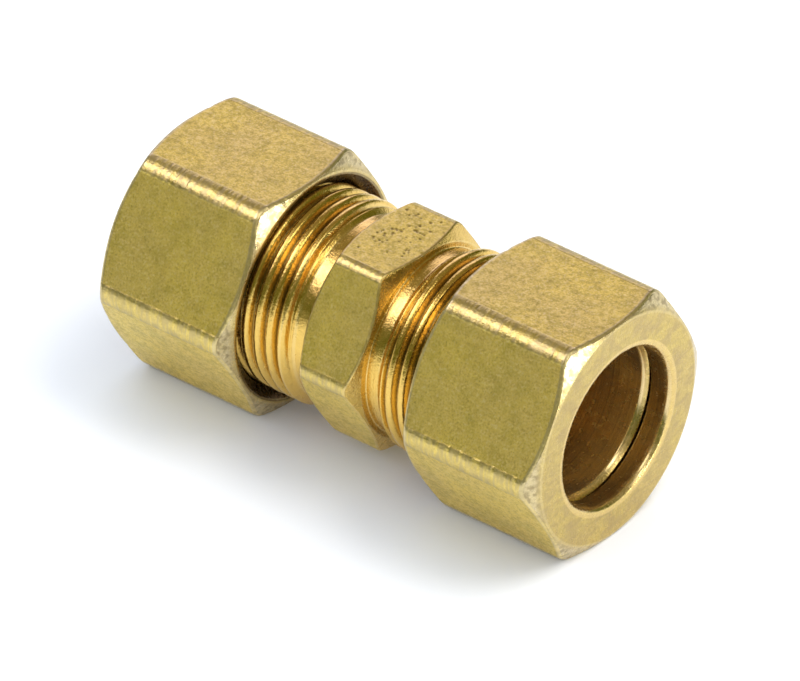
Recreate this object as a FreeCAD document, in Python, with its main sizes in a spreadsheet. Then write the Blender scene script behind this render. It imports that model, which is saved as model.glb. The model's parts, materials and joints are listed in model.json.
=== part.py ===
import FreeCAD, Part
import math
import os
import re
import Sketcher
from FreeCAD import Placement, Rotation, Vector

# A brass compression union for 5/8 inch tube: a hexagonal body with a threaded
# stub on each end, and on each stub a hexagon nut that carries a loose sleeve.
#
# X runs along the bore, Z is up and the origin is the middle of the body.
# Lengths are in millimetres and angles in degrees.
#
# Every bored piece is drawn for the +X end. The sleeve and the nut of the -X end
# are the same pieces turned half a turn about Z, which keeps their threads
# right-handed.

DIMENSIONS = {
    # tube
    "tube_diameter": 15.875,
    "tube_clearance": 0.2,

    # body
    "body_across_flats": 20.2,
    "body_corner_radius": 1.4,
    "body_hex_width": 7.0,
    "body_face_diameter": 19.7,
    "stub_reach": 15.0,
    "stub_lead": 0.85,
    "relief_width": 1.5,
    "relief_diameter": 18.5,
    "socket_stop": 3.0,
    "waterway_diameter": 13.5,
    "seat_mouth_diameter": 18.0,
    "seat_angle": 30.0,

    # 13/16-18 thread
    "thread_pitch": 25.4 / 18,
    "stub_thread_diameter": 20.4,
    "stub_thread_depth": 0.8,
    "crest_flat": 25.4 / 18 / 8,
    "thread_clearance": 0.14,
    "nut_minor_diameter": 19.4,

    # nut
    "nut_across_flats": 23.8125,
    "nut_corner_radius": 1.8,
    "nut_length": 15.7,
    "nut_face_diameter": 23.3,
    "nut_reach": 25.8,
    "countersink_diameter": 22.6,
    "nut_thread_length": 8.6,
    "entry_diameter": 16.1,
    "entry_length": 2.35,
    "entry_rounding": 0.75,
    "shoulder_angle": 60.0,
    "hex_chamfer_angle": 30.0,

    # sleeve
    "sleeve_diameter": 18.8,
    "sleeve_bore": 16.0,
    "sleeve_length": 7.55,
    "sleeve_reach": 22.95,
    "sleeve_nose_diameter": 16.7,
    "sleeve_back_diameter": 17.1,
    "sleeve_mouth_diameter": 16.9,
    "sleeve_mouth_depth": 0.6,
    "sleeve_edge": 0.15,
}

OVERRUN = 2.0         # how far a cut's outline runs past the surface that it opens through
SMALLEST_CUT = 0.01   # a cut that takes away less volume than this has missed the solid

doc = FreeCAD.newDocument("compression_union")
dims = doc.addObject("Spreadsheet::Sheet", "dims")
for row, (alias, value) in enumerate(DIMENSIONS.items(), start=1):
    dims.set(f"A{row}", alias)
    dims.set(f"B{row}", str(value))
    dims.setAlias(f"B{row}", alias)
doc.recompute()


# ---- drawing helpers ----

def sheet_name(word):
    """A word of an expression as the sheet knows it, if it is a dimension."""
    return f"dims.{word.group()}" if word.group() in DIMENSIONS else word.group()


def bound(text):
    """The sheet expression for text, which names dimensions by their alias alone."""
    return re.sub(r"[a-z_]+", sheet_name, text)


def number(text):
    """The value of an expression in the dimensions."""
    value = dims.evalExpression(bound(text))
    return float(getattr(value, "Value", value))


def new_body(label, placement=None):
    body = doc.addObject("PartDesign::Body", label)
    body.Label = label
    body.Placement = placement or Placement()
    return body


def new_sketch(body, plane, name):
    """A sketch on one of the body's own origin planes."""
    sketch = body.newObject("Sketcher::SketchObject", name)
    origin_plane = next(f for f in body.Origin.OriginFeatures if f.Role == plane)
    sketch.AttachmentSupport = (origin_plane, [""])
    sketch.MapMode = "FlatFace"
    return sketch


def pin_point(sketch, line, text, direction, axis):
    """Hold a line's start point at a dimension, or on the axis where that is zero."""
    if text == "0":
        sketch.addConstraint(Sketcher.Constraint("PointOnObject", line, 1, axis))
        return
    constraint = Sketcher.Constraint(direction, -1, 1, line, 1, number(text))
    index = sketch.addConstraint(constraint)
    sketch.setExpression(f"Constraints[{index}]", bound(text))


def draw_outline(sketch, corners):
    """A closed outline whose corners are pairs of expressions: along X, and out from it."""
    points = [Vector(number(along), number(out), 0) for along, out in corners]
    first = sketch.GeometryCount
    count = len(points)
    for start, end in zip(points, points[1:] + points[:1]):
        sketch.addGeometry(Part.LineSegment(start, end), False)
    for i in range(count):
        following = first + (i + 1) % count
        sketch.addConstraint(Sketcher.Constraint("Coincident", first + i, 2, following, 1))
    for i, (along, out) in enumerate(corners):
        pin_point(sketch, first + i, along, "DistanceX", -2)
        pin_point(sketch, first + i, out, "DistanceY", -1)


def revolve(body, kind, name, corners):
    """A Revolution or a Groove of an outline about the bore axis."""
    sketch = new_sketch(body, "XZ_Plane", name + "_outline")
    draw_outline(sketch, corners)
    feature = body.newObject("PartDesign::" + kind, name)
    feature.Profile = sketch
    feature.ReferenceAxis = (sketch, ["H_Axis"])
    feature.Angle = 360
    doc.recompute()


def check_cut(body, name, volume_before):
    """A cut that misses the solid reports no error, so compare the volumes."""
    if body.Shape.Volume > volume_before - SMALLEST_CUT:
        raise RuntimeError(f"{name} of {body.Label} cut nothing")


def turn_on(body, name, corners):
    revolve(body, "Revolution", name, corners)


def turn_off(body, name, corners):
    volume_before = body.Shape.Volume
    revolve(body, "Groove", name, corners)
    check_cut(body, name, volume_before)


def round_edges(body, name, edges, radius):
    """Round edges of the body's last feature, given by their numbers."""
    last = body.Tip
    rounding = body.newObject("PartDesign::Fillet", name)
    rounding.Base = (last, [f"Edge{i}" for i in edges])
    rounding.setExpression("Radius", bound(radius))
    doc.recompute()


def hexagon(body, name, across_flats):
    """A hexagon with level flats at top and bottom, drawn about its inscribed circle."""
    sketch = new_sketch(body, "YZ_Plane", name + "_outline")
    inscribed = number(across_flats) / 2
    corner_distance = inscribed / math.cos(math.radians(30))
    angles = [math.radians(60 * i) for i in range(7)]
    corners = [Vector(corner_distance * math.cos(a), corner_distance * math.sin(a), 0) for a in angles]
    for start, end in zip(corners, corners[1:]):
        sketch.addGeometry(Part.LineSegment(start, end), False)
    circle = sketch.addGeometry(Part.Circle(Vector(0, 0, 0), Vector(0, 0, 1), inscribed), True)
    sketch.addConstraint(Sketcher.Constraint("Coincident", circle, 3, -1, 1))
    diameter = sketch.addConstraint(Sketcher.Constraint("Diameter", circle, 2 * inscribed))
    sketch.setExpression(f"Constraints[{diameter}]", bound(across_flats))
    for side in range(6):
        sketch.addConstraint(Sketcher.Constraint("Coincident", side, 2, (side + 1) % 6, 1))
        sketch.addConstraint(Sketcher.Constraint("Tangent", side, circle))
    for side in range(5):
        sketch.addConstraint(Sketcher.Constraint("Equal", side, side + 1))
    sketch.addConstraint(Sketcher.Constraint("Horizontal", 1))
    return sketch


def hexagon_bar(body, name, across_flats, length, corner_radius, both_ways):
    """A length of hexagon bar with rounded corners."""
    bar = body.newObject("PartDesign::Pad", name)
    bar.Profile = hexagon(body, name, across_flats)
    bar.setExpression("Length", bound(length))
    if both_ways:
        bar.Midplane = True
    doc.recompute()

    long_edges = [
        i
        for i, edge in enumerate(bar.Shape.Edges, start=1)
        if abs(edge.tangentAt(edge.FirstParameter).x) > 0.999
    ]
    round_edges(body, name + "_corners", long_edges, corner_radius)


def chamfer_hexagon_end(body, name, end, inward, across_flats, face_diameter):
    """Turn a hexagon's corners back from one end, as a bar lathe does."""
    slope = "tan(hex_chamfer_angle * 1deg)"
    outside = f"({across_flats} * 0.62)"
    face = f"({face_diameter} / 2)"
    depth = f"({outside} - {face}) * {slope}"
    past_end = f"{end} - ({inward}) * {OVERRUN}"
    turn_off(body, name, [
        (end, face),
        (f"{end} + ({inward}) * {depth}", outside),
        (past_end, outside),
        (past_end, face),
    ])


def cut_thread(body, name, groove, start, length):
    """Cut a right-handed helical groove. groove is its section, start its first X."""
    volume_before = body.Shape.Volume
    sketch = new_sketch(body, "XZ_Plane", name + "_section")
    draw_outline(sketch, [(f"{start} + ({along})", out) for along, out in groove])
    thread = body.newObject("PartDesign::SubtractiveHelix", name)
    thread.Profile = sketch
    thread.ReferenceAxis = (sketch, ["H_Axis"])
    thread.Mode = "pitch-height-angle"
    thread.setExpression("Pitch", bound("thread_pitch"))
    thread.setExpression("Height", bound(length))
    thread.Angle = 0
    thread.Growth = 0
    thread.LeftHanded = False
    thread.Reversed = False
    doc.recompute()
    check_cut(body, name, volume_before)
    return thread


def is_circle(edge, along, radius):
    """Whether an edge is the circle about the bore axis at a distance along it."""
    curve = edge.Curve
    if not isinstance(curve, Part.Circle):
        return False
    return abs(curve.Center.x - along) < 1e-6 and abs(curve.Radius - radius) < 1e-6


def turn_round_z(body, name, feature):
    """Repeat a cut at the other end of a body, half a turn about Z away."""
    volume_before = body.Shape.Volume
    copy = body.newObject("PartDesign::PolarPattern", name)
    copy.Originals = [feature]
    z_axis = next(f for f in body.Origin.OriginFeatures if f.Role == "Z_Axis")
    copy.Axis = (z_axis, [""])
    copy.Angle = 360
    copy.Occurrences = 2
    body.Tip = copy
    doc.recompute()
    check_cut(body, name, volume_before)


# ---- thread form ----

FLANK = "tan(30deg)"
CREST = "(stub_thread_diameter / 2)"
GROOVE_CUT = 0.1    # how far a thread's cutter stands out of the surface that it cuts


def stub_groove():
    """Section of the groove between two ridges of a stub's thread."""
    mouth_half = "(thread_pitch - crest_flat) / 2"
    outer_half = f"({mouth_half} + {GROOVE_CUT} * {FLANK})"
    root_half = f"({mouth_half} - stub_thread_depth * {FLANK})"
    outer = f"{CREST} + {GROOVE_CUT}"
    root = f"{CREST} - stub_thread_depth"
    return [(f"-{outer_half}", outer), (f"-{root_half}", root), (root_half, root), (outer_half, outer)]


def nut_groove():
    """Section of the nut's groove: a stub's ridge with clearance all round."""
    root = f"({CREST} + thread_clearance)"
    inner = f"(nut_minor_diameter / 2 - {GROOVE_CUT})"
    root_half = "(crest_flat / 2)"
    inner_half = f"({root_half} + ({root} - {inner}) * {FLANK})"
    return [(f"-{inner_half}", inner), (f"-{root_half}", root), (root_half, root), (inner_half, inner)]


# ---- pieces ----

THREAD_START = "(body_hex_width / 2 + relief_width / 2)"
NUT_PLACE = "(nut_reach - nut_length)"
SLEEVE_PLACE = "(sleeve_reach - sleeve_length)"


def make_body():
    body = new_body("union_body")
    hexagon_bar(body, "hexagon", "body_across_flats", "body_hex_width", "body_corner_radius", True)
    for name, end, inward in (("right", "body_hex_width / 2", "-1"), ("left", "-body_hex_width / 2", "1")):
        chamfer_hexagon_end(
            body, name + "_hex_chamfer", end, inward, "body_across_flats", "body_face_diameter")

    # Stubs: a turned relief beside the hexagon, the thread's blank and a chamfered lead.
    relief_end = "(body_hex_width / 2 + relief_width)"
    relief_rise = "(stub_thread_diameter - relief_diameter) / 2"
    for name, sign in (("right", ""), ("left", "-")):
        turn_on(body, name + "_stub", [
            ("0", "0"),
            ("0", "relief_diameter / 2"),
            (f"{sign}{relief_end}", "relief_diameter / 2"),
            (f"{sign}({relief_end} + {relief_rise})", CREST),
            (f"{sign}(stub_reach - stub_lead)", CREST),
            (f"{sign}stub_reach", f"{CREST} - stub_lead"),
            (f"{sign}stub_reach", "0"),
        ])

    thread_length = f"stub_reach - {THREAD_START} + thread_pitch"
    thread = cut_thread(body, "right_thread", stub_groove(), THREAD_START, thread_length)
    turn_round_z(body, "left_thread", thread)

    # Bore: a waterway through the middle, and at each end a tube socket behind a conical seat.
    socket = "(tube_diameter + tube_clearance) / 2"
    seat_start = f"(stub_reach - (seat_mouth_diameter / 2 - {socket}) / tan(seat_angle * 1deg))"
    for name, sign in (("right", ""), ("left", "-")):
        turn_off(body, name + "_socket", [
            ("0", "0"),
            ("0", "waterway_diameter / 2"),
            (f"{sign}socket_stop", "waterway_diameter / 2"),
            (f"{sign}socket_stop", socket),
            (f"{sign}{seat_start}", socket),
            (f"{sign}stub_reach", "seat_mouth_diameter / 2"),
            (f"{sign}(stub_reach + {OVERRUN})", "seat_mouth_diameter / 2"),
            (f"{sign}(stub_reach + {OVERRUN})", "0"),
        ])
    return body


def make_nut(label, placement):
    """A nut with its threaded end at X = 0 and its tube entry at X = nut_length."""
    nut = new_body(label, placement)
    hexagon_bar(nut, "hexagon", "nut_across_flats", "nut_length", "nut_corner_radius", False)
    for name, end, inward in (("thread_end", "0", "1"), ("entry_end", "nut_length", "-1")):
        chamfer_hexagon_end(
            nut, name + "_chamfer", end, inward, "nut_across_flats", "nut_face_diameter")

    # Inside: countersink, thread and sleeve pocket at one radius, shoulder, entry bore.
    minor = "nut_minor_diameter / 2"
    entry = "entry_diameter / 2"
    countersink_depth = "(countersink_diameter - nut_minor_diameter) / 2"
    shoulder_start = "nut_length - entry_length"
    shoulder_length = f"({minor} - {entry}) / tan(shoulder_angle * 1deg)"
    turn_off(nut, "inside", [
        (f"-{OVERRUN}", "0"),
        (f"-{OVERRUN}", "countersink_diameter / 2"),
        ("0", "countersink_diameter / 2"),
        (countersink_depth, minor),
        (f"{shoulder_start} - {shoulder_length}", minor),
        (shoulder_start, entry),
        (f"nut_length + {OVERRUN}", entry),
        (f"nut_length + {OVERRUN}", "0"),
    ])

    mouth_edges = [
        i
        for i, edge in enumerate(nut.Tip.Shape.Edges, start=1)
        if is_circle(edge, number("nut_length"), number(entry))
    ]
    round_edges(nut, "entry_mouth", mouth_edges, "entry_rounding")

    # The nut's groove meets a ridge of the stub, half a pitch on from a groove of the stub.
    start = f"({THREAD_START} + 3.5 * thread_pitch - {NUT_PLACE})"
    cut_thread(nut, "thread", nut_groove(), start, f"nut_thread_length - {start}")
    return nut


def make_sleeve(label, placement):
    """A loose sleeve with its conical nose at X = 0 and its back at X = sleeve_length.

    The back's outside is a cone that the nut's shoulder presses on, and its bore
    flares there to take the tube.
    """
    sleeve = new_body(label, placement)
    outer = "sleeve_diameter / 2"
    nose = "sleeve_nose_diameter / 2"
    back = "sleeve_back_diameter / 2"
    bore = "sleeve_bore / 2"
    turn_on(sleeve, "ring", [
        ("0", nose),
        (f"({outer} - {nose}) / tan(seat_angle * 1deg)", outer),
        (f"sleeve_length - ({outer} - {back}) / tan(shoulder_angle * 1deg)", outer),
        ("sleeve_length", back),
        ("sleeve_length", "sleeve_mouth_diameter / 2"),
        ("sleeve_length - sleeve_mouth_depth", bore),
        ("sleeve_edge", bore),
        ("0", f"{bore} + sleeve_edge"),
    ])
    return sleeve


def end_placement(side, distance):
    """Where a piece of the +X end (side 1) or of the -X end (side -1) stands."""
    half_turn = 0 if side > 0 else 180
    return Placement(Vector(side * number(distance), 0, 0), Rotation(Vector(0, 0, 1), half_turn))


pieces = [make_body()]
for name, side in (("right", 1), ("left", -1)):
    pieces.append(make_nut(name + "_nut", end_placement(side, NUT_PLACE)))
    pieces.append(make_sleeve(name + "_sleeve", end_placement(side, SLEEVE_PLACE)))
doc.recompute()

for item in doc.Objects:
    if "Invalid" in item.State or "Error" in item.State:
        raise RuntimeError(f"{item.Name} failed: {item.State}")
for piece in pieces:
    shape = piece.Shape
    if shape.isNull() or not shape.isValid() or len(shape.Solids) != 1:
        raise RuntimeError(f"{piece.Label} is not one valid solid")

os.makedirs("parts", exist_ok=True)
for piece in pieces:
    piece.Shape.exportStep(f"parts/{piece.Label}.step")
    print(f"{piece.Label}: {piece.Shape.Volume:.1f} mm3, {piece.Shape.BoundBox}")
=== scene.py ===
import json
import math
import random
from collections import namedtuple

import bpy
import numpy as np
from mathutils import Matrix, Vector, noise


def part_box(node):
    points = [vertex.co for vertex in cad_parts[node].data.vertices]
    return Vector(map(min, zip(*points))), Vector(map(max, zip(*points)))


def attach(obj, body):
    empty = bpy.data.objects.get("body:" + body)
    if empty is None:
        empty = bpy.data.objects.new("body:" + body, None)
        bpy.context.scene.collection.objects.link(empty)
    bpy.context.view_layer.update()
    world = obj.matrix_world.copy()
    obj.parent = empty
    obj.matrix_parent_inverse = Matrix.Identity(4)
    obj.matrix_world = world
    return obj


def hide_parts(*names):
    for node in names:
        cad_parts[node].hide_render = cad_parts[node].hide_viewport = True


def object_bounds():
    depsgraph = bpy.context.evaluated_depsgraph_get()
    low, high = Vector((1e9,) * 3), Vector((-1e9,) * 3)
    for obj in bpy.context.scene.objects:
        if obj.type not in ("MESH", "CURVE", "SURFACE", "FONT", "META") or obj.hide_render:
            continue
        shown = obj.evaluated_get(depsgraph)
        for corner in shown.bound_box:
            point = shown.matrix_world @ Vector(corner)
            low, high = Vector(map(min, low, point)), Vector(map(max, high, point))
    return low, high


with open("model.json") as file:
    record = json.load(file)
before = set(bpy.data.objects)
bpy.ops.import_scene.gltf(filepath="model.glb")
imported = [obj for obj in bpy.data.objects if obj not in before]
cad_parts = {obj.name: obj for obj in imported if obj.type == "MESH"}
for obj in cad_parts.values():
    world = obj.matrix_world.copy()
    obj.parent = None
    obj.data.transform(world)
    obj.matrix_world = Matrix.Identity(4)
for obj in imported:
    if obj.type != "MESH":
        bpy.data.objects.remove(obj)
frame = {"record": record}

# A brass compression union, lying on a pale table in soft studio light.
#
# The frame gives each piece its place and its outer size. Each piece is made here
# as a closed ring: rows of points that run round the bore, one row after another
# along the piece's section. The rows follow every edge, so each edge is eased and
# crisp, and the threads are real helical grooves.
#
# The pieces are worked out in millimetres, and the studio in metres.

cad_low, cad_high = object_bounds()

METRE = 1000.0
QUARTER_TURN = math.pi / 2
FULL_TURN = 2 * math.pi
SLOPE_30 = math.tan(math.radians(30))
SLOPE_60 = math.tan(math.radians(60))


# ---- sizes ----

def reach(node, axis):
    """A node's lowest and highest coordinate along an axis."""
    low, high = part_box(node)
    return low[axis] * METRE, high[axis] * METRE


def bore_radius(mount_name):
    mount = next(m for m in frame["record"]["mounts"] if m["name"] == mount_name)
    return mount["dims"]["r_mm"]


# A flat is given by its distance from the axis, a hexagon's corner by how far it is
# rounded, and a face by the radius where its chamfer starts.
BODY_FLAT = 10.1
BODY_CORNER = 1.4
BODY_FACE = 9.85
HEX_HALF_WIDTH = 3.5
RELIEF_RADIUS = 9.25
RELIEF_END = 5.0
STUB_REACH = reach("union_body", 0)[1]
STUB_RADIUS = reach("union_body", 2)[1]
STUB_LEAD = 0.85                        # the chamfer that leads the nut on to the thread
SOCKET_RADIUS = bore_radius("right_tube_socket")
SOCKET_STOP = 3.0
WATERWAY_RADIUS = 6.75
SEAT_MOUTH = 9.0
SEAT_SLOPE = SLOPE_30

NUT_START, NUT_REACH = reach("right_nut", 0)
NUT_LENGTH = NUT_REACH - NUT_START
NUT_FLAT = reach("right_nut", 2)[1]
NUT_CORNER = 2.1                        # the CAD has 1.8, and the photographed bar is rounder
NUT_FACE = 11.65
NUT_MINOR = 9.7                         # over the crests of the nut's thread
COUNTERSINK_RADIUS = 11.3
ENTRY_RADIUS = bore_radius("right_tube_entry")
ENTRY_LENGTH = 2.35
ENTRY_ROUNDING = 0.75
SHOULDER_SLOPE = SLOPE_60
HEX_CHAMFER_SLOPE = SLOPE_30

SLEEVE_START, SLEEVE_REACH = reach("right_sleeve", 0)
SLEEVE_LENGTH = SLEEVE_REACH - SLEEVE_START
SLEEVE_RADIUS = reach("right_sleeve", 2)[1]
SLEEVE_BORE = bore_radius("right_tube_grip")
SLEEVE_NOSE = 8.35
SLEEVE_BACK = 8.55
SLEEVE_MOUTH = 8.45
SLEEVE_MOUTH_DEPTH = 0.6
SLEEVE_COLUMNS = 192

PITCH = 25.4 / 18
THREAD_DEPTH = 0.8
THREAD_START = (HEX_HALF_WIDTH + RELIEF_END) / 2     # where the stub's groove crosses its top
FLANK_SLOPE = SLOPE_30
CREST_FLAT = PITCH / 8
CREST_WEAR = 0.14                       # what wear widens the stub's crests by
CREST_WANDER = 0.012                    # how far the stub's crests wander inward
WANDER_PER_MM = 3
WANDER_ROUND = 9
CREST_ROUNDING = 0.2                    # how far the stub's flanks bulge, of the depth
STUB_THREAD_SOFTNESS = 0.2              # how round the bends of a flank are, of its height
NUT_THREAD_SOFTNESS = 0.12
NUT_THREAD_EASE = 0.18                  # what the nut's groove is wider by, to clear the stub
NUT_THREAD_LENGTH = 8.6
THREAD_CLEARANCE = 0.14
TURNS_TO_NUT = 3.5                      # from the stub's groove to where the nut's groove starts


# ---- rings: a section traced round the bore ----

# A corner of a section is its place along the bore and out from it (each a number, or
# one per column), how far its edge is eased, and the leg from it to the next corner.
# A leg has a row spacing, a finish, whether it has every column or every second one,
# and perhaps a shape that changes its radii.
Leg = namedtuple("Leg", "spacing finish fine shape", defaults=(None,))
Corner = namedtuple("Corner", "along out ease leg")
Row = namedtuple("Row", "along out edge finish fine shape")

# A finish is how far a surface is turned, how bright it is, and how much painted shade darkens it as
# a recess.
BAR = (0.0, 0.0, 0.0)
TURNED = (1.0, 0.0, 0.0)
FRESH = (1.0, 0.7, 0.0)         # a body's face, which is brighter than a nut's
BRIGHT = (1.0, 1.0, 0.0)
DULL_AND_SHADED = (1.0, 0.3, 1.0)          # a nut's own thread, darkened all over with painted shade
PAINTED_SHADE_COUNTERSINK = (1.0, 0.0, 0.82)      # a nut's countersink, darkened with painted shade

EASE_STEP = 0.09                # longest step round an eased edge
FEWEST_EASE_STEPS = 3
MOST_EASED = 0.45               # how much of a leg the easing at one end may take


def flat_half_angle(flat, corner):
    """The angle from the middle of a hexagon's flat to where its rounded corner starts."""
    return math.atan((flat - corner) * SLOPE_30 / flat)


def hexagon_columns(flat, corner, per_flat, per_corner, finer_flat=None, per_finer_flat=0):
    """Angles from +Y towards +Z, closer together round the hexagon's corners."""
    tangent = flat_half_angle(flat, corner)
    angles = []
    for side in range(6):
        middle = math.radians(30 + 60 * side)
        count = per_finer_flat if side == finer_flat else per_flat
        across = np.arctan(np.linspace(-math.tan(tangent), math.tan(tangent), count + 1))
        round_corner = np.linspace(tangent, math.radians(60) - tangent, per_corner + 1)
        angles += [middle + across[:-1], middle + round_corner[:-1]]
    return np.concatenate(angles)


def hexagon_radius(angle, flat, corner):
    """From the axis to the surface of a hexagon bar with rounded corners."""
    from_corner = (angle + math.radians(30)) % math.radians(60) - math.radians(30)
    from_flat = math.radians(30) - np.abs(from_corner)
    straight = flat / np.cos(from_flat)
    centre = (flat - corner) / math.cos(math.radians(30))
    inside = np.maximum(corner ** 2 - (centre * np.sin(from_corner)) ** 2, 0)
    rounded = centre * np.cos(from_corner) + np.sqrt(inside)
    return np.where(from_flat < flat_half_angle(flat, corner), straight, rounded)


def on_ridge(angle, flat, corner):
    """1 on a hexagon's rounded corners and 0 on its flats."""
    from_flat = np.abs(angle % math.radians(60) - math.radians(30))
    return (from_flat > flat_half_angle(flat, corner)).astype(float)


def unit(vectors):
    """Each vector's direction, with a length of 1."""
    return vectors / np.maximum(np.linalg.norm(vectors, axis=0), 1e-9)


def trace(corners, columns):
    """Rows of points along a closed section, with every edge eased by a smooth curve."""
    places = [
        np.array([np.broadcast_to(value, columns.shape) for value in (corner.along, corner.out)])
        for corner in corners
    ]

    def eased_point(i, towards):
        leg = places[towards] - places[i]
        distance = np.minimum(corners[i].ease, MOST_EASED * np.linalg.norm(leg, axis=0))
        return places[i] + unit(leg) * distance

    rows = []
    for i, corner in enumerate(corners):
        following = (i + 1) % len(corners)
        leg = corner.leg
        before = corners[i - 1].leg

        finish = tuple((a + b) / 2 for a, b in zip(before.finish, leg.finish))
        fine = leg.fine and before.fine
        shape = leg.shape or before.shape
        start = eased_point(i, i - 1)
        end = eased_point(i, following)
        steps = max(FEWEST_EASE_STEPS, round(corner.ease / EASE_STEP))
        for t in np.linspace(0, 1, steps + 1):
            along, out = (1 - t) ** 2 * start + 2 * t * (1 - t) * places[i] + t * t * end
            rows.append(Row(along, out, 1.0, finish, fine, shape))

        leg_end = eased_point(following, i)
        length = np.linalg.norm(leg_end - end, axis=0).max()
        steps = max(2, round(length / leg.spacing))
        for t in np.linspace(0, 1, steps + 1)[1:-1]:
            t -= math.sin(FULL_TURN * t) / (2 * FULL_TURN)      # closer rows at both ends
            along, out = end + t * (leg_end - end)
            rows.append(Row(along, out, 0.0, leg.finish, leg.fine, leg.shape))
    return rows


def ring(name, rows, columns, half_turn=False, start=0.0, wear=None):
    """A closed mesh from rows, placed along the bore. A half turn about Z moves it to the -X end."""
    points = []
    edges = []
    finishes = []
    firsts = [0]
    for row in rows:
        step = 1 if row.fine else 2
        angle = columns[::step]
        along = row.along[::step]
        base = row.out[::step]
        out = row.shape(along, base, angle) if row.shape else base
        points.append(np.stack([along + start, out * np.cos(angle), out * np.sin(angle)], axis=1))
        edges.append(np.full(len(angle), row.edge))
        finish = np.tile(row.finish, (len(angle), 1))
        # The deeper a point lies in a groove, the more painted shade it takes.
        finish[:, 2] = np.clip(finish[:, 2] + np.abs(out - base) / THREAD_DEPTH, 0, 1)
        finishes.append(finish)
        firsts.append(firsts[-1] + len(angle))
    points = np.concatenate(points)
    finishes = np.concatenate(finishes)
    if half_turn:
        points *= (-1, -1, 1)
    extra = wear(points, finishes) if wear else {}

    faces = []
    for i, row in enumerate(rows):
        following = (i + 1) % len(rows)
        next_fine = rows[following].fine
        faces += join_rows(firsts[i], row.fine, firsts[following], next_fine, len(columns))

    mesh = bpy.data.meshes.new(name)
    mesh.from_pydata((points / METRE).tolist(), [], faces)
    mesh.polygons.foreach_set("use_smooth", [True] * len(mesh.polygons))
    turned, bright, recess = finishes.T
    layers = {
        "edge": np.concatenate(edges),
        "turned": turned,
        "bright": bright,
        "recess": recess,
        **extra,
    }
    for layer_name, values in layers.items():
        attribute = mesh.attributes.new(layer_name, "FLOAT", "POINT")
        attribute.data.foreach_set("value", values.astype(np.float32))
    mesh.update()
    piece = bpy.data.objects.new(name, mesh)
    bpy.context.scene.collection.objects.link(piece)
    return piece


def join_rows(first_a, fine_a, first_b, fine_b, full):
    """Faces from row a to row b, each of which has every column or every second one."""
    if fine_a == fine_b:
        count = full if fine_a else full // 2
        return [(first_a + j, first_a + (j + 1) % count, first_b + (j + 1) % count, first_b + j)
                for j in range(count)]
    faces = []
    half = full // 2
    fine_first, coarse_first = (first_a, first_b) if fine_a else (first_b, first_a)
    for j in range(half):
        one, two, three = (fine_first + k % full for k in (2 * j, 2 * j + 1, 2 * j + 2))
        here = coarse_first + j
        after = coarse_first + (j + 1) % half
        if fine_a:
            faces += [(one, two, here), (two, three, after), (two, after, here)]
        else:
            faces += [(here, two, one), (after, three, two), (here, after, two)]
    return faces


# ---- threads ----

def soft_step(value, softness):
    """value held between 0 and 1, with the two bends rounded."""
    def soft_floor(v):
        return (v + np.sqrt(v * v + softness * softness)) / 2
    return 1 - soft_floor(1 - soft_floor(value))


def from_groove(along, angle, start):
    """Distance along the bore from the middle of the nearest turn of a right-hand groove."""
    middle = start + PITCH * (angle - QUARTER_TURN) / FULL_TURN
    return np.abs((along - middle + PITCH / 2) % PITCH - PITCH / 2)


def wander(x, angle):
    """Smooth noise from -1 to 1, along and round a crest."""
    return noise.noise(Vector((
        WANDER_PER_MM * x,
        WANDER_ROUND * math.cos(angle),
        WANDER_ROUND * math.sin(angle),
    )))


def stub_thread(along, out, angle):
    """A stub's radii once its groove is cut. The -X stub is the +X one, half a turn about Z away."""
    here = np.where(along > 0, angle, math.pi - angle)
    distance = from_groove(np.abs(along), here, THREAD_START)
    flank_width = THREAD_DEPTH * FLANK_SLOPE
    root_half = (PITCH - CREST_FLAT - CREST_WEAR) / 2 - flank_width
    rise = soft_step((distance - root_half) / flank_width, STUB_THREAD_SOFTNESS)
    rise += CREST_ROUNDING * np.sin(math.pi * rise)
    ragged = np.array([wander(x, a) for x, a in zip(along, angle)])
    crest = STUB_RADIUS - CREST_WANDER * (1 + ragged)
    return np.minimum(out, crest - THREAD_DEPTH * (1 - rise))


def nut_thread(along, out, angle):
    """A nut's inner radii once its groove is cut, which fades out before the sleeve's pocket."""
    start = THREAD_START + TURNS_TO_NUT * PITCH - NUT_START
    distance = from_groove(along, angle, start)
    depth = STUB_RADIUS + THREAD_CLEARANCE - NUT_MINOR
    fade = np.clip((NUT_THREAD_LENGTH + PITCH - along) / PITCH, 0, 1)
    from_crest = (distance - CREST_FLAT / 2 - NUT_THREAD_EASE) / (depth * FLANK_SLOPE)
    cut = soft_step(1 - from_crest, NUT_THREAD_SOFTNESS)
    return np.maximum(out, NUT_MINOR + depth * cut * fade)


# ---- wear ----

MOSTLY_TURNED = 0.6             # the bar and its eased edges are turned less than this

HOLLOW_DEPTH = 0.03             # broad hollows and fine ripples over the bar
HOLLOW_SIZE = 5.0
RIPPLE_DEPTH = 0.006
RIPPLE_SIZE = 0.9

MARK_DEPTH = 0.010              # marks across the bar's rounded corners
MARKS_PER_MM = 2.4
FINE_MARKS_PER_MM = 6.5
FINE_MARK_SHARE = 0.6

NICK_RADIUS = (0.25, 0.6)       # nicks along the edges where the bar ends
NICK_DEPTH = (0.02, 0.07)
NICK_REACH = 1.05               # of the distance to a flat: between a flat and a corner

PIT_COUNT = 52                  # pits on the body's top flat
PIT_RADIUS = (0.12, 0.24)
PIT_DEPTH = (0.05, 0.10)
PITS_HALF_LENGTH = 2.2
PITS_MIDDLE = 0.4               # across the flat
PITS_SPREAD = 1.9
DEEP_PIT = 0.06                 # a pit this deep has its full colour


def dent(points, centre, radius, depth, direction):
    """Press one round dent into a piece."""
    near = np.linalg.norm(points - centre, axis=1)
    press = np.clip(1 - (near / radius) ** 2, 0, None) ** 2
    points += np.outer(press * depth, direction)


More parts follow.
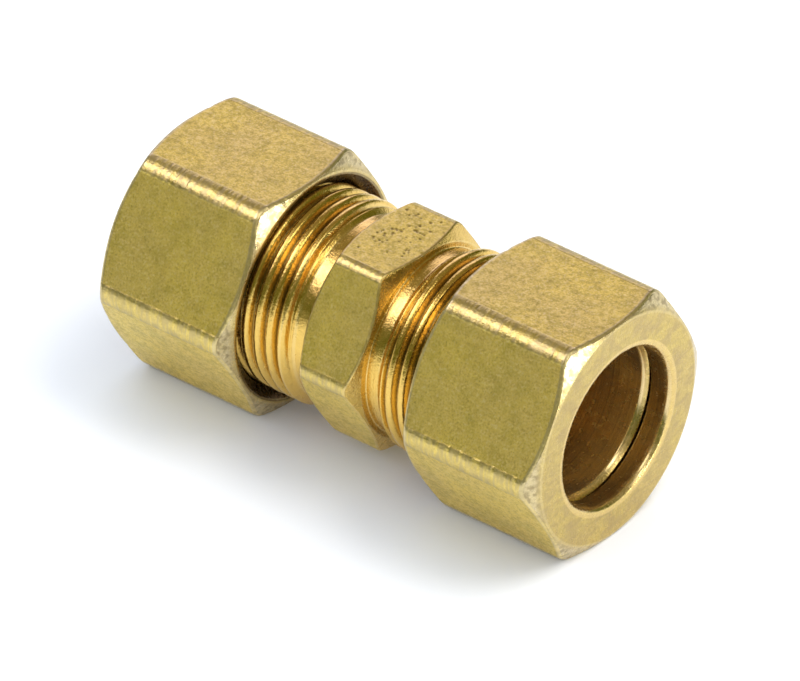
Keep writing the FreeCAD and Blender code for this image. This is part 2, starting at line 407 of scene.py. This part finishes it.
def waves(points, size, seed):
    """Smooth noise from 0 to 1 at each point."""
    offset = Vector((seed, 0, 0))
    return np.array([0.5 + 0.5 * noise.noise(Vector(p) / size + offset) for p in points])


def cross_mark(x, seed):
    """How far a mark across a corner stands out at this place along the bar."""
    broad = noise.noise(Vector((x * MARKS_PER_MM, seed, 0)))
    fine = noise.noise(Vector((x * FINE_MARKS_PER_MM, seed, 5)))
    return broad + FINE_MARK_SHARE * fine


def weather(points, finishes, flat, corner, seed, nicks):
    """Slight hollows over the bar's flats, cross marks on its corners, and nicks along its edges."""
    angle = np.arctan2(points[:, 2], points[:, 1]) % FULL_TURN
    radius = np.hypot(points[:, 1], points[:, 2])
    bar = finishes[:, 0] < MOSTLY_TURNED
    ridge = on_ridge(angle, flat, corner) * bar
    hollow = HOLLOW_DEPTH * waves(points[bar], HOLLOW_SIZE, seed)
    ripple = RIPPLE_DEPTH * waves(points[bar], RIPPLE_SIZE, seed + 7)
    marks = np.array([cross_mark(x, seed) for x in points[bar][:, 0]])
    inward = hollow + ripple + ridge[bar] * MARK_DEPTH * (1 + FINE_MARK_SHARE + marks)
    scale = np.ones(len(points))
    scale[bar] -= inward / radius[bar]
    points[:, 1:] *= scale[:, None]
    nick_edges(points, bar, flat, seed, nicks)
    return {"ridge": ridge}


def nick_edges(points, bar, flat, seed, nicks):
    """Small dents where the bar's surface ends, pressed towards the middle of the piece."""
    rng = random.Random(seed)
    low, high = points[bar, 0].min(), points[bar, 0].max()
    middle = np.array([(low + high) / 2, 0, 0])
    for _ in range(nicks):
        side = rng.choice((low, high))
        turn = rng.random() * FULL_TURN
        target = np.array([
            side,
            math.cos(turn) * flat * NICK_REACH,
            math.sin(turn) * flat * NICK_REACH,
        ])
        centre = points[bar][np.linalg.norm(points[bar] - target, axis=1).argmin()]
        direction = (middle - centre) / np.linalg.norm(middle - centre)
        radius = rng.uniform(*NICK_RADIUS)
        depth = rng.uniform(*NICK_DEPTH)
        dent(points, centre, radius, depth, direction)


def stipple(points, seed):
    """A scatter of small pits on the body's top flat. Returns how deep in a pit each point is."""
    rng = random.Random(seed)
    down = np.array([0, 0, -1])
    before = points.copy()
    for _ in range(PIT_COUNT):
        along = rng.uniform(-PITS_HALF_LENGTH, PITS_HALF_LENGTH)
        across = rng.gauss(PITS_MIDDLE, PITS_SPREAD)
        radius = rng.uniform(*PIT_RADIUS)
        depth = rng.uniform(*PIT_DEPTH)
        dent(points, np.array([along, across, BODY_FLAT]), radius, depth, down)
    return np.clip((before[:, 2] - points[:, 2]) / DEEP_PIT, 0, 1)


# ---- pieces ----

def make_nut(name, half_turn, seed):
    columns = hexagon_columns(NUT_FLAT, NUT_CORNER, per_flat=56, per_corner=12)
    side = hexagon_radius(columns, NUT_FLAT, NUT_CORNER)
    chamfer = (side - NUT_FACE) * HEX_CHAMFER_SLOPE
    shoulder_length = (NUT_MINOR - ENTRY_RADIUS) / SHOULDER_SLOPE
    countersink_depth = COUNTERSINK_RADIUS - NUT_MINOR
    shoulder_end = NUT_LENGTH - ENTRY_LENGTH

    flat = Leg(0.2, BAR, fine=True)
    face = Leg(0.2, TURNED, fine=True)
    bore = Leg(0.2, BRIGHT, fine=False)
    thread = Leg(0.07, DULL_AND_SHADED, fine=False, shape=nut_thread)
    countersink = Leg(0.2, PAINTED_SHADE_COUNTERSINK, fine=True)
    # The outside from the inner face to the outer one, then the bore back.
    section = [
        Corner(0, NUT_FACE, 0.10, face),
        Corner(chamfer, side, 0.22, flat),
        Corner(NUT_LENGTH - chamfer, side, 0.22, face),
        Corner(NUT_LENGTH, NUT_FACE, 0.10, face),
        Corner(NUT_LENGTH, ENTRY_RADIUS, ENTRY_ROUNDING, bore),
        Corner(shoulder_end, ENTRY_RADIUS, 0.10, bore),
        Corner(shoulder_end - shoulder_length, NUT_MINOR, 0.15, thread),
        Corner(countersink_depth, NUT_MINOR, 0.06, thread),
        Corner(0, COUNTERSINK_RADIUS, 0.06, countersink),
    ]

    def wear(points, finishes):
        return weather(points, finishes, NUT_FLAT, NUT_CORNER, seed, nicks=26)

    return ring(name, trace(section, columns), columns, half_turn, NUT_START, wear)


def make_body(name, seed):
    top = 1     # the flat that faces up, which has more columns for its pits
    columns = hexagon_columns(BODY_FLAT, BODY_CORNER, per_flat=38, per_corner=8,
                              finer_flat=top, per_finer_flat=100)
    side = hexagon_radius(columns, BODY_FLAT, BODY_CORNER)
    chamfer = (side - BODY_FACE) * HEX_CHAMFER_SLOPE
    relief_rise = STUB_RADIUS - RELIEF_RADIUS
    seat_depth = (SEAT_MOUTH - SOCKET_RADIUS) / SEAT_SLOPE

    flat = Leg(0.09, BAR, fine=True)
    face = Leg(0.12, FRESH, fine=True)
    relief = Leg(0.12, BRIGHT, fine=False)
    thread = Leg(0.085, BRIGHT, fine=False, shape=stub_thread)
    bore = Leg(1.5, TURNED, fine=False)
    # The outside from the hexagon to the +X end, then the bore back to the middle.
    half = [
        Corner(HEX_HALF_WIDTH - chamfer, side, 0.14, face),
        Corner(HEX_HALF_WIDTH, BODY_FACE, 0.08, face),
        Corner(HEX_HALF_WIDTH, RELIEF_RADIUS, 0.12, relief),
        Corner(RELIEF_END, RELIEF_RADIUS, 0.15, thread),
        Corner(RELIEF_END + relief_rise, STUB_RADIUS, 0.10, thread),
        Corner(STUB_REACH - STUB_LEAD, STUB_RADIUS, 0.10, thread),
        Corner(STUB_REACH, STUB_RADIUS - STUB_LEAD, 0.08, relief),
        Corner(STUB_REACH, SEAT_MOUTH, 0.08, bore),
        Corner(STUB_REACH - seat_depth, SOCKET_RADIUS, 0.08, bore),
        Corner(SOCKET_STOP, SOCKET_RADIUS, 0.08, bore),
        Corner(SOCKET_STOP, WATERWAY_RADIUS, 0.12, bore),
    ]
    section = mirrored(half, across=flat) + half

    def wear(points, finishes):
        layers = weather(points, finishes, BODY_FLAT, BODY_CORNER, seed, nicks=12)
        layers["pit"] = stipple(points, seed)
        return layers

    return ring(name, trace(section, columns), columns, wear=wear)


def mirrored(corners, across):
    """The same corners at the -X end. across is the last one's leg, over to the +X end."""
    legs = [across] + [corner.leg for corner in corners[:-1]]
    return [corner._replace(along=-corner.along, leg=leg)
            for corner, leg in zip(reversed(corners), reversed(legs))]


def make_sleeve(name, half_turn):
    columns = np.linspace(0, FULL_TURN, SLEEVE_COLUMNS + 1)[:-1]
    nose_length = (SLEEVE_RADIUS - SLEEVE_NOSE) / SEAT_SLOPE
    back_length = (SLEEVE_RADIUS - SLEEVE_BACK) / SHOULDER_SLOPE
    outside = Leg(0.2, BRIGHT, fine=True)
    inside = Leg(0.3, TURNED, fine=True)
    # The outside from the nose to the back, then the bore back to the nose.
    section = [
        Corner(0, SLEEVE_NOSE, 0.06, outside),
        Corner(nose_length, SLEEVE_RADIUS, 0.15, outside),
        Corner(SLEEVE_LENGTH - back_length, SLEEVE_RADIUS, 0.12, outside),
        Corner(SLEEVE_LENGTH, SLEEVE_BACK, 0.04, outside),
        Corner(SLEEVE_LENGTH, SLEEVE_MOUTH, 0.04, inside),
        Corner(SLEEVE_LENGTH - SLEEVE_MOUTH_DEPTH, SLEEVE_BORE, 0.10, inside),
        Corner(0, SLEEVE_BORE, 0.10, inside),
    ]
    return ring(name, trace(section, columns), columns, half_turn, SLEEVE_START)


# ---- nodes ----

def add(tree, kind, inputs=None, **settings):
    """A new node. An input is given as a number, a colour or another node's output."""
    made = tree.nodes.new(kind)
    for setting, value in settings.items():
        setattr(made, setting, value)
    for socket, value in (inputs or {}).items():
        if isinstance(value, bpy.types.NodeSocket):
            tree.links.new(value, made.inputs[socket])
        else:
            made.inputs[socket].default_value = value
    return made


def calculate(tree, operation, a, b=0.0, c=0.0):
    return add(tree, "ShaderNodeMath", {0: a, 1: b, 2: c}, operation=operation).outputs[0]


def rescale(tree, value, low, high, new_low, new_high):
    """value between low and high becomes new_low to new_high, and stops there."""
    inputs = {
        "Value": value,
        "From Min": low,
        "From Max": high,
        "To Min": new_low,
        "To Max": new_high,
    }
    return add(tree, "ShaderNodeMapRange", inputs).outputs["Result"]


def blend_colours(tree, amount, a, b):
    return add(tree, "ShaderNodeMix", {0: amount, 6: a, 7: b}, data_type="RGBA").outputs[2]


def speckle(tree, place, per_mm, detail, stretch=(1, 1, 1)):
    """Noise from 0 to 1, with about per_mm spots in a millimetre."""
    scaled = add(tree, "ShaderNodeVectorMath", {0: place, 1: stretch}, operation="MULTIPLY")
    inputs = {"Vector": scaled.outputs[0], "Scale": per_mm, "Detail": detail}
    return add(tree, "ShaderNodeTexNoise", inputs).outputs["Fac"]


def layer(tree, name):
    """A value that the mesh carries at its points."""
    return add(tree, "ShaderNodeAttribute", attribute_name=name).outputs["Fac"]


def roughen(tree, height, depth_mm, below=None):
    """A bump of this depth, on top of the bump below."""
    inputs = {"Height": height, "Distance": depth_mm / METRE}
    if below:
        inputs["Normal"] = below
    return add(tree, "ShaderNodeBump", inputs).outputs["Normal"]


# ---- brass ----

BRASS = (0.86, 0.65, 0.12)
PALE_BRASS = (0.80, 0.60, 0.15)
OLIVE_CLOUD = (0.50, 0.39, 0.06)
BROWN_MOTTLE = (0.50, 0.37, 0.08)
GLINT = (0.95, 0.80, 0.44)
FINE_DIRT = (0.36, 0.26, 0.07)
TURNED_BRASS = (0.43, 0.31, 0.13)
SCRATCH = (0.40, 0.28, 0.12)
FACE_CLOUD = (0.46, 0.33, 0.15)
RUBBED_CORNER = (0.54, 0.42, 0.17)
# Painted sheen: paler chamfers, so that their highlights read whiter
PAINTED_CHAMFER_SHEEN = (0.78, 0.69, 0.48)
CHAMFER_STAIN = (0.24, 0.17, 0.07)
BRIGHT_BRASS = (0.88, 0.57, 0.13)
# Painted shade for the thread roots, the nut's thread and its countersink
PAINTED_RECESS_SHADE = (0.10, 0.06, 0.02)
BORE_BRASS = (0.86, 0.64, 0.31)
TOOL_LINE = (0.48, 0.34, 0.14)
WORN_EDGE = (0.90, 0.76, 0.42)
DARK_IN_PITS = (0.16, 0.10, 0.03)

BORE_FADE = (8.35, 8.15)        # radii over which the look of the bore fades in
CHAMFER_FADE = (11.6, 12.2)     # and the look of a nut's chamfers
TOOL_CONE = 0.7                 # how tool marks lean, so that faces and bores both have them
TOOL_MARKS_PER_MM = 4.5


def brass(name, shift):
    """Brass: satin on the bar's flats, turned on the ends, and bright on the threads and bores.

    shift moves the noise along by this many millimetres, so that the pieces differ.
    """
    material = bpy.data.materials.new(name)
    material.use_nodes = True
    tree = material.node_tree
    tree.nodes.clear()

    def times(a, b):
        return calculate(tree, "MULTIPLY", a, b)

    def opposite(value):
        return calculate(tree, "SUBTRACT", 1.0, value)

    def ramp(value, low, high, most, least=0):
        return rescale(tree, value, low, high, least, most)

    metres = add(tree, "ShaderNodeTexCoord").outputs["Object"]
    move = {0: metres, 1: (METRE, METRE, METRE), 2: (shift, 0, 0)}
    place = add(tree, "ShaderNodeVectorMath", move, operation="MULTIPLY_ADD").outputs[0]
    axes = add(tree, "ShaderNodeSeparateXYZ", {0: place}).outputs
    across = add(tree, "ShaderNodeCombineXYZ", {"Y": axes["Y"], "Z": axes["Z"]}).outputs[0]
    radius = add(tree, "ShaderNodeVectorMath", {0: across}, operation="LENGTH").outputs["Value"]
    cut_line = calculate(tree, "MULTIPLY_ADD", radius, TOOL_CONE, axes["X"])

    edge = layer(tree, "edge")
    ridge = layer(tree, "ridge")
    turned = layer(tree, "turned")
    bright = layer(tree, "bright")
    recess = layer(tree, "recess")
    pit = layer(tree, "pit")
    inside = ramp(radius, *BORE_FADE, 1)
    outside = opposite(inside)
    on_bar = opposite(turned)
    on_face = times(turned, outside)
    on_chamfer = times(turned, ramp(radius, *CHAMFER_FADE, 1))

    broad = speckle(tree, place, 0.16, detail=2)
    cloud = speckle(tree, place, 0.5, detail=3)
    mottle = speckle(tree, place, 1.7, detail=5)
    scratches = speckle(tree, place, 2.4, detail=5, stretch=(1, 0.22, 0.8))
    grain = speckle(tree, place, 5.0, detail=3)
    drawn = speckle(tree, place, 5.0, detail=3, stretch=(0.08, 1, 1))
    cross_marks = speckle(tree, place, 2.6, detail=2, stretch=(1, 0.2, 0.2))
    cuts = {"W": cut_line, "Scale": TOOL_MARKS_PER_MM, "Detail": 3.0}
    tool_marks = add(tree, "ShaderNodeTexNoise", cuts, noise_dimensions="1D").outputs["Fac"]

    # Each tint is how much of a colour covers the ones before it.
    tints = [
        (ramp(broad, 0.35, 0.65, 1), PALE_BRASS),
        (ramp(cloud, 0.46, 0.70, 0.45), OLIVE_CLOUD),
        (ramp(mottle, 0.45, 0.70, 0.6), BROWN_MOTTLE),
        (ramp(grain, 0.50, 0.70, 0.38), GLINT),
        (ramp(grain, 0.47, 0.30, 0.48), FINE_DIRT),
        (times(turned, 0.55), TURNED_BRASS),
        (times(on_face, ramp(scratches, 0.47, 0.66, 0.42)), SCRATCH),
        (times(on_face, ramp(cloud, 0.45, 0.62, 0.4)), FACE_CLOUD),
        (times(ridge, ramp(cross_marks, 0.60, 0.40, 0.9, least=0.3)), RUBBED_CORNER),
        # Painted sheen: the chamfers are paled so that their highlights read whiter.
        (times(on_chamfer, 0.4), PAINTED_CHAMFER_SHEEN),
        (times(on_chamfer, ramp(mottle, 0.48, 0.62, 0.6)), CHAMFER_STAIN),
        (times(bright, 0.75), BRIGHT_BRASS),
        # Painted shade: darker deep in the stub's grooves, in the nut's thread and in its
        # countersink.
        (ramp(recess, 0.55, 0.95, 0.95), PAINTED_RECESS_SHADE),
        (times(inside, 0.9), BORE_BRASS),
        (times(inside, ramp(tool_marks, 0.45, 0.65, 0.6)), TOOL_LINE),
        (times(edge, 0.2), WORN_EDGE),
        # Darker inside the pits.
        (times(pit, 0.8), DARK_IN_PITS),
    ]
    colour = (*BRASS, 1)
    for amount, tint in tints:
        colour = blend_colours(tree, amount, colour, (*tint, 1))

    satin = ramp(mottle, 0.3, 0.7, 0.50, least=0.38)
    smooth = calculate(tree, "ADD", times(turned, 0.14), times(bright, 0.07))
    smooth = calculate(tree, "MAXIMUM", smooth, times(ridge, 0.10))
    smooth = calculate(tree, "MAXIMUM", smooth, times(inside, 0.20))
    rough = calculate(tree, "SUBTRACT", satin, smooth)
    metal = ramp(bright, 0, 1, 0.97, least=0.93)

    surface = roughen(tree, times(mottle, outside), 0.032)
    surface = roughen(tree, times(grain, outside), 0.022, surface)
    surface = roughen(tree, times(drawn, on_bar), 0.012, surface)
    surface = roughen(tree, times(cross_marks, ridge), 0.08, surface)
    surface = roughen(tree, times(tool_marks, turned), 0.012, surface)

    shader = add(tree, "ShaderNodeBsdfPrincipled", {
        "Base Color": colour,
        "Roughness": rough,
        "Normal": surface,
        "Metallic": metal,
    })
    add(tree, "ShaderNodeOutputMaterial", {"Surface": shader.outputs[0]})
    return material


# ---- studio ----

FLOOR_HALF_SIZE = 4.0
FLOOR_COLOUR = (0.86, 0.87, 0.885, 1)

WHITE = (1, 1, 1, 1)
SKYLIGHT = (0.92, 0.975, 1.06, 1)       # what the room lights the floor and the fitting with
SKYLIGHT_STRENGTH = 1.26
LOW_WALL = (0.11, 0.13, 0.008, 1)       # what the brass reflects of the room
HIGH_WALL = (0.23, 0.20, 0.09, 1)
WALL_FADE = (0.42, 0.62)                # heights between which one wall becomes the other

CAMERA_AZIMUTH = 37.80
CAMERA_ELEVATION = 35.89
CAMERA_ROLL = 0.5
CAMERA_DISTANCE = 1.2155
CAMERA_TARGET = (0.00077, -0.00061, -0.00092)
CAMERA_LENS = 589.2
CAMERA_SENSOR = 36


def towards(azimuth, elevation):
    """The direction from the fitting at an azimuth from -Y towards +X, and a height, in degrees."""
    azimuth = math.radians(azimuth)
    elevation = math.radians(elevation)
    level = math.cos(elevation)
    return Vector((math.sin(azimuth) * level, -math.cos(azimuth) * level, math.sin(elevation)))


def softbox(name, direction, distance, size, radiance, colour=(1, 1, 1)):
    """A rectangular light that faces the fitting. It isn't seen by the camera."""
    width, height = size
    light = bpy.data.lights.new(name, "AREA")
    light.shape = "RECTANGLE"
    light.size = width
    light.size_y = height
    light.energy = radiance * width * height * math.pi
    light.color = colour
    lamp = bpy.data.objects.new(name, light)
    lamp.location = towards(*direction) * distance
    lamp.rotation_euler = lamp.location.to_track_quat("Z", "Y").to_euler()
    lamp.visible_camera = False
    bpy.context.scene.collection.objects.link(lamp)
    return lamp


def make_floor():
    height = cad_low[2]
    corners = [(x * FLOOR_HALF_SIZE, y * FLOOR_HALF_SIZE, height)
               for x, y in ((-1, -1), (1, -1), (1, 1), (-1, 1))]
    mesh = bpy.data.meshes.new("floor")
    mesh.from_pydata(corners, [], [(0, 1, 2, 3)])
    floor = bpy.data.objects.new("floor", mesh)
    bpy.context.scene.collection.objects.link(floor)
    material = bpy.data.materials.new("pale_table")
    material.use_nodes = True
    shader = material.node_tree.nodes["Principled BSDF"]
    shader.inputs["Base Color"].default_value = FLOOR_COLOUR
    shader.inputs["Roughness"].default_value = 0.75
    shader.inputs["Specular IOR Level"].default_value = 0.2
    mesh.materials.append(material)


def make_room():
    """A pale room: bright for what it lights and behind the table, and dimmer in reflections."""
    world = bpy.data.worlds.new("room")
    bpy.context.scene.world = world
    world.use_nodes = True
    tree = world.node_tree
    tree.nodes.clear()

    def background(colour, strength=1.0):
        inputs = {"Color": colour, "Strength": strength}
        return add(tree, "ShaderNodeBackground", inputs).outputs[0]

    def either(choice, without, chosen):
        inputs = {0: choice, 1: without, 2: chosen}
        return add(tree, "ShaderNodeMixShader", inputs).outputs[0]

    ray = add(tree, "ShaderNodeLightPath").outputs
    direction = add(tree, "ShaderNodeTexCoord").outputs["Generated"]
    height = add(tree, "ShaderNodeSeparateXYZ", {0: direction}).outputs["Z"]
    above = rescale(tree, height, *WALL_FADE, 0, 1)
    reflected = background(blend_colours(tree, above, LOW_WALL, HIGH_WALL))
    lit = background(SKYLIGHT, SKYLIGHT_STRENGTH)
    unseen = either(ray["Is Diffuse Ray"], reflected, lit)
    seen = either(ray["Is Camera Ray"], unseen, background(WHITE))
    add(tree, "ShaderNodeOutputWorld", {"Surface": seen})


def place_lights():
    """Softboxes that the brass reflects, and one light for the table that it doesn't reflect.

    Each has its azimuth and elevation, its distance, its width and height, and its radiance.
    """
    reflected = [
        softbox("key_softbox", (-55, 50), 1.3, (0.68, 0.56), 3.4, colour=(1, 0.96, 1.38)),
        softbox("back_panel", (-142, 27), 1.4, (1.2, 0.64), 1.5, colour=(0.90, 0.84, 1.38)),
        softbox("overhead_panel", (2, 66), 1.3, (1.1, 0.5), 2.2),
        softbox("side_panel", (102, 9), 1.2, (0.36, 0.28), 15.0),
        softbox("right_lamp", (88, 46), 1.3, (0.35, 0.5), 4.0),
    ]
    for lamp in reflected:
        lamp.visible_diffuse = False
    table_light = softbox("table_light", (130, 58), 1.5, (0.9, 0.9), 4.2, colour=(1.06, 1, 0.92))
    table_light.visible_glossy = False


def place_camera():
    """A long lens looking down along the fitting from its right-hand end."""
    camera = bpy.data.cameras.new("camera")
    camera.sensor_width = CAMERA_SENSOR
    camera.lens = CAMERA_LENS
    camera.clip_start = 0.1
    camera.clip_end = 20
    back = towards(CAMERA_AZIMUTH, CAMERA_ELEVATION)
    level = Vector((0, 0, 1)).cross(back).normalized()
    upright = back.cross(level)
    roll = math.radians(CAMERA_ROLL)
    right = level * math.cos(roll) + upright * math.sin(roll)
    up = upright * math.cos(roll) - level * math.sin(roll)
    view = Matrix((right, up, back)).transposed().to_4x4()
    view.translation = Vector(CAMERA_TARGET) + back * CAMERA_DISTANCE
    seen_from = bpy.data.objects.new("camera", camera)
    seen_from.matrix_world = view
    bpy.context.scene.collection.objects.link(seen_from)
    bpy.context.scene.camera = seen_from


place_camera()
make_floor()
make_room()
place_lights()
bpy.context.scene.view_settings.view_transform = "Standard"

body_finish = brass("body_finish", shift=0)
nut_finish = brass("nut_finish", shift=40)
sleeve_finish = brass("sleeve_finish", shift=90)

body = make_body("brass_body", seed=3)
right_nut = make_nut("brass_right_nut", half_turn=False, seed=11)
left_nut = make_nut("brass_left_nut", half_turn=True, seed=29)
right_sleeve = make_sleeve("brass_right_sleeve", half_turn=False)
left_sleeve = make_sleeve("brass_left_sleeve", half_turn=True)
pieces = [
    (body, "union_body", body_finish, "body_brass"),
    (right_nut, "right_nut", nut_finish, "nut_brass"),
    (left_nut, "left_nut", nut_finish, "nut_brass"),
    (right_sleeve, "right_sleeve", sleeve_finish, "sleeve_brass"),
    (left_sleeve, "left_sleeve", sleeve_finish, "sleeve_brass"),
]
for piece, node, finish, slot in pieces:
    piece.data.materials.append(finish)
    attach(piece, node)
    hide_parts(node)
